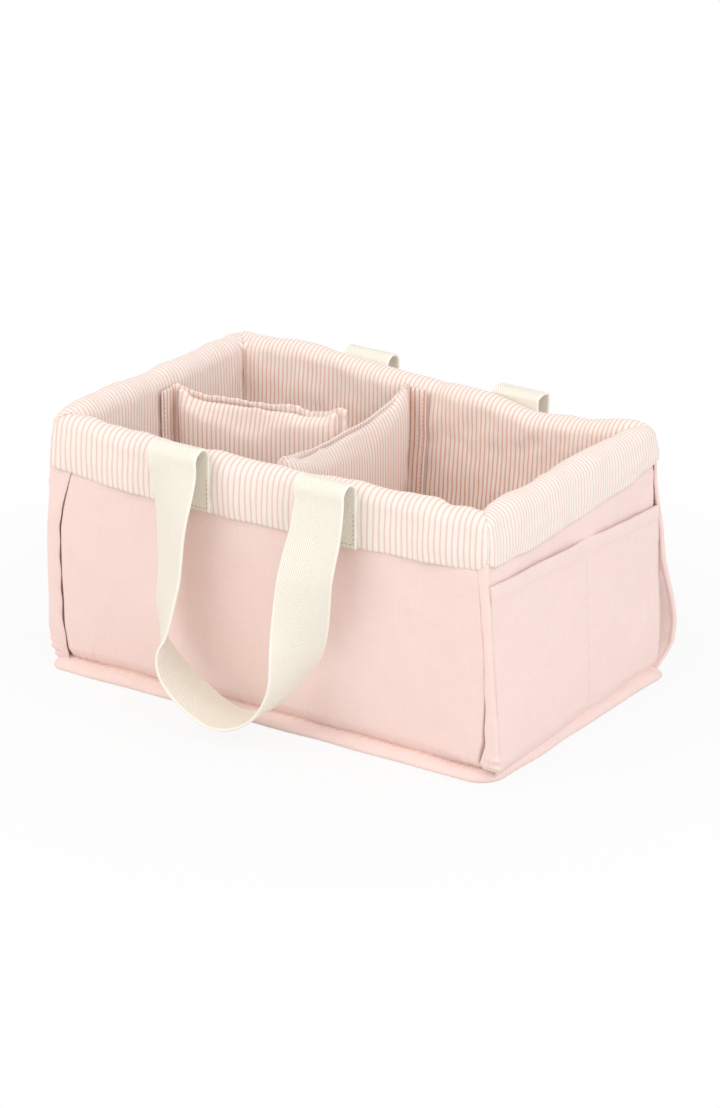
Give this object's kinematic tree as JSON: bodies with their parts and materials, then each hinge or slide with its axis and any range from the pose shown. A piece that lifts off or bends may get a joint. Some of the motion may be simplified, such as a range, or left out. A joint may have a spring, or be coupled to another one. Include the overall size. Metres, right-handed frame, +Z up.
{
  "type": "diaper caddy",
  "caption": "Open padded fabric caddy with a turned-down striped cuff, webbing handles that swing up, lift-out dividers and end pockets.",
  "frame": {"origin": "on the floor under the middle of the caddy", "axes": "+Z up, +X along the length towards the single large compartment, -Y towards the front"},
  "size_m": [0.39, 0.3316, 0.2073],
  "materials": {
    "pink_cotton": "woven cotton, matte",
    "striped_cotton": "woven cotton with thin pink stripes, matte",
    "cream_webbing": "herringbone cotton webbing, matte",
    "foam": "polyester foam padding, matte",
    "base_board": "pressed board, matte",
    "hook_tape": "hook-and-loop tape, matte"
  },
  "bodies": {
    "caddy": {"base_outer_panel": "pink_cotton", "base_board": "base_board", "base_padding": "foam", "floor_lining": "striped_cotton", "front_outer_panel": "pink_cotton", "back_outer_panel": "pink_cotton", "left_outer_panel": "pink_cotton", "right_outer_panel": "pink_cotton", "front_wall_foam": "foam", "back_wall_foam": "foam", "left_wall_foam": "foam", "right_wall_foam": "foam", "front_lining": "striped_cotton", "back_lining": "striped_cotton", "left_lining": "striped_cotton", "right_lining": "striped_cotton", "front_left_corner_welt": "pink_cotton", "front_right_corner_welt": "pink_cotton", "back_left_corner_welt": "pink_cotton", "back_right_corner_welt": "pink_cotton", "left_pocket": "pink_cotton", "right_pocket": "pink_cotton", "front_left_handle_tab": "cream_webbing", "front_right_handle_tab": "cream_webbing", "back_left_handle_tab": "cream_webbing", "back_right_handle_tab": "cream_webbing", "front_lining_loop_strip": "hook_tape", "back_lining_loop_strip": "hook_tape", "left_lining_loop_strip": "hook_tape"},
    "front_handle_folds": {"front_left_handle_fold": "cream_webbing", "front_right_handle_fold": "cream_webbing"},
    "front_handle": {"front_handle_loop": "cream_webbing"},
    "back_handle_folds": {"back_left_handle_fold": "cream_webbing", "back_right_handle_fold": "cream_webbing"},
    "back_handle": {"back_handle_loop": "cream_webbing"},
    "cross_divider": {"cross_divider_right_cover": "striped_cotton", "cross_divider_left_cover": "striped_cotton", "cross_divider_foam": "foam", "cross_divider_back_flap": "striped_cotton", "cross_divider_front_flap": "striped_cotton", "cross_divider_back_hook_strip": "hook_tape", "cross_divider_front_hook_strip": "hook_tape", "cross_divider_loop_strip": "hook_tape"},
    "lengthwise_divider": {"lengthwise_divider_front_cover": "striped_cotton", "lengthwise_divider_back_cover": "striped_cotton", "lengthwise_divider_foam": "foam", "lengthwise_divider_left_flap": "striped_cotton", "lengthwise_divider_right_flap": "striped_cotton", "lengthwise_divider_left_hook_strip": "hook_tape", "lengthwise_divider_right_hook_strip": "hook_tape"}
  },
  "joints": [
    {"name": "front_handle_fold", "type": "hinge", "parent": "caddy", "child": "front_handle_folds", "pos_m": [0, -0.1223, 0.2063], "axis": [-1, 0, 0], "range_deg": [0, 98]},
    {"name": "front_handle_swing", "type": "hinge", "parent": "front_handle_folds", "child": "front_handle", "pos_m": [0, -0.1383, 0.2063], "axis": [-1, 0, 0], "range_deg": [0, 98]},
    {"name": "back_handle_fold", "type": "hinge", "parent": "caddy", "child": "back_handle_folds", "pos_m": [0, 0.1223, 0.1953], "axis": [1, 0, 0], "range_deg": [0, 95]},
    {"name": "back_handle_swing", "type": "hinge", "parent": "back_handle_folds", "child": "back_handle", "pos_m": [0, 0.1383, 0.1953], "axis": [1, 0, 0], "range_deg": [0, 95]},
    {"name": "cross_divider_lift", "type": "slide", "parent": "caddy", "child": "cross_divider", "axis": [0, 0, 1], "range_m": [0, 0.193]},
    {"name": "lengthwise_divider_lift", "type": "slide", "parent": "caddy", "child": "lengthwise_divider", "axis": [0, 0, 1], "range_m": [0, 0.193]}
  ],
  "couplings": [
    {"joint": "front_handle_swing", "follows": "front_handle_fold", "ratio": 1},
    {"joint": "back_handle_swing", "follows": "back_handle_fold", "ratio": 1}
  ]
}
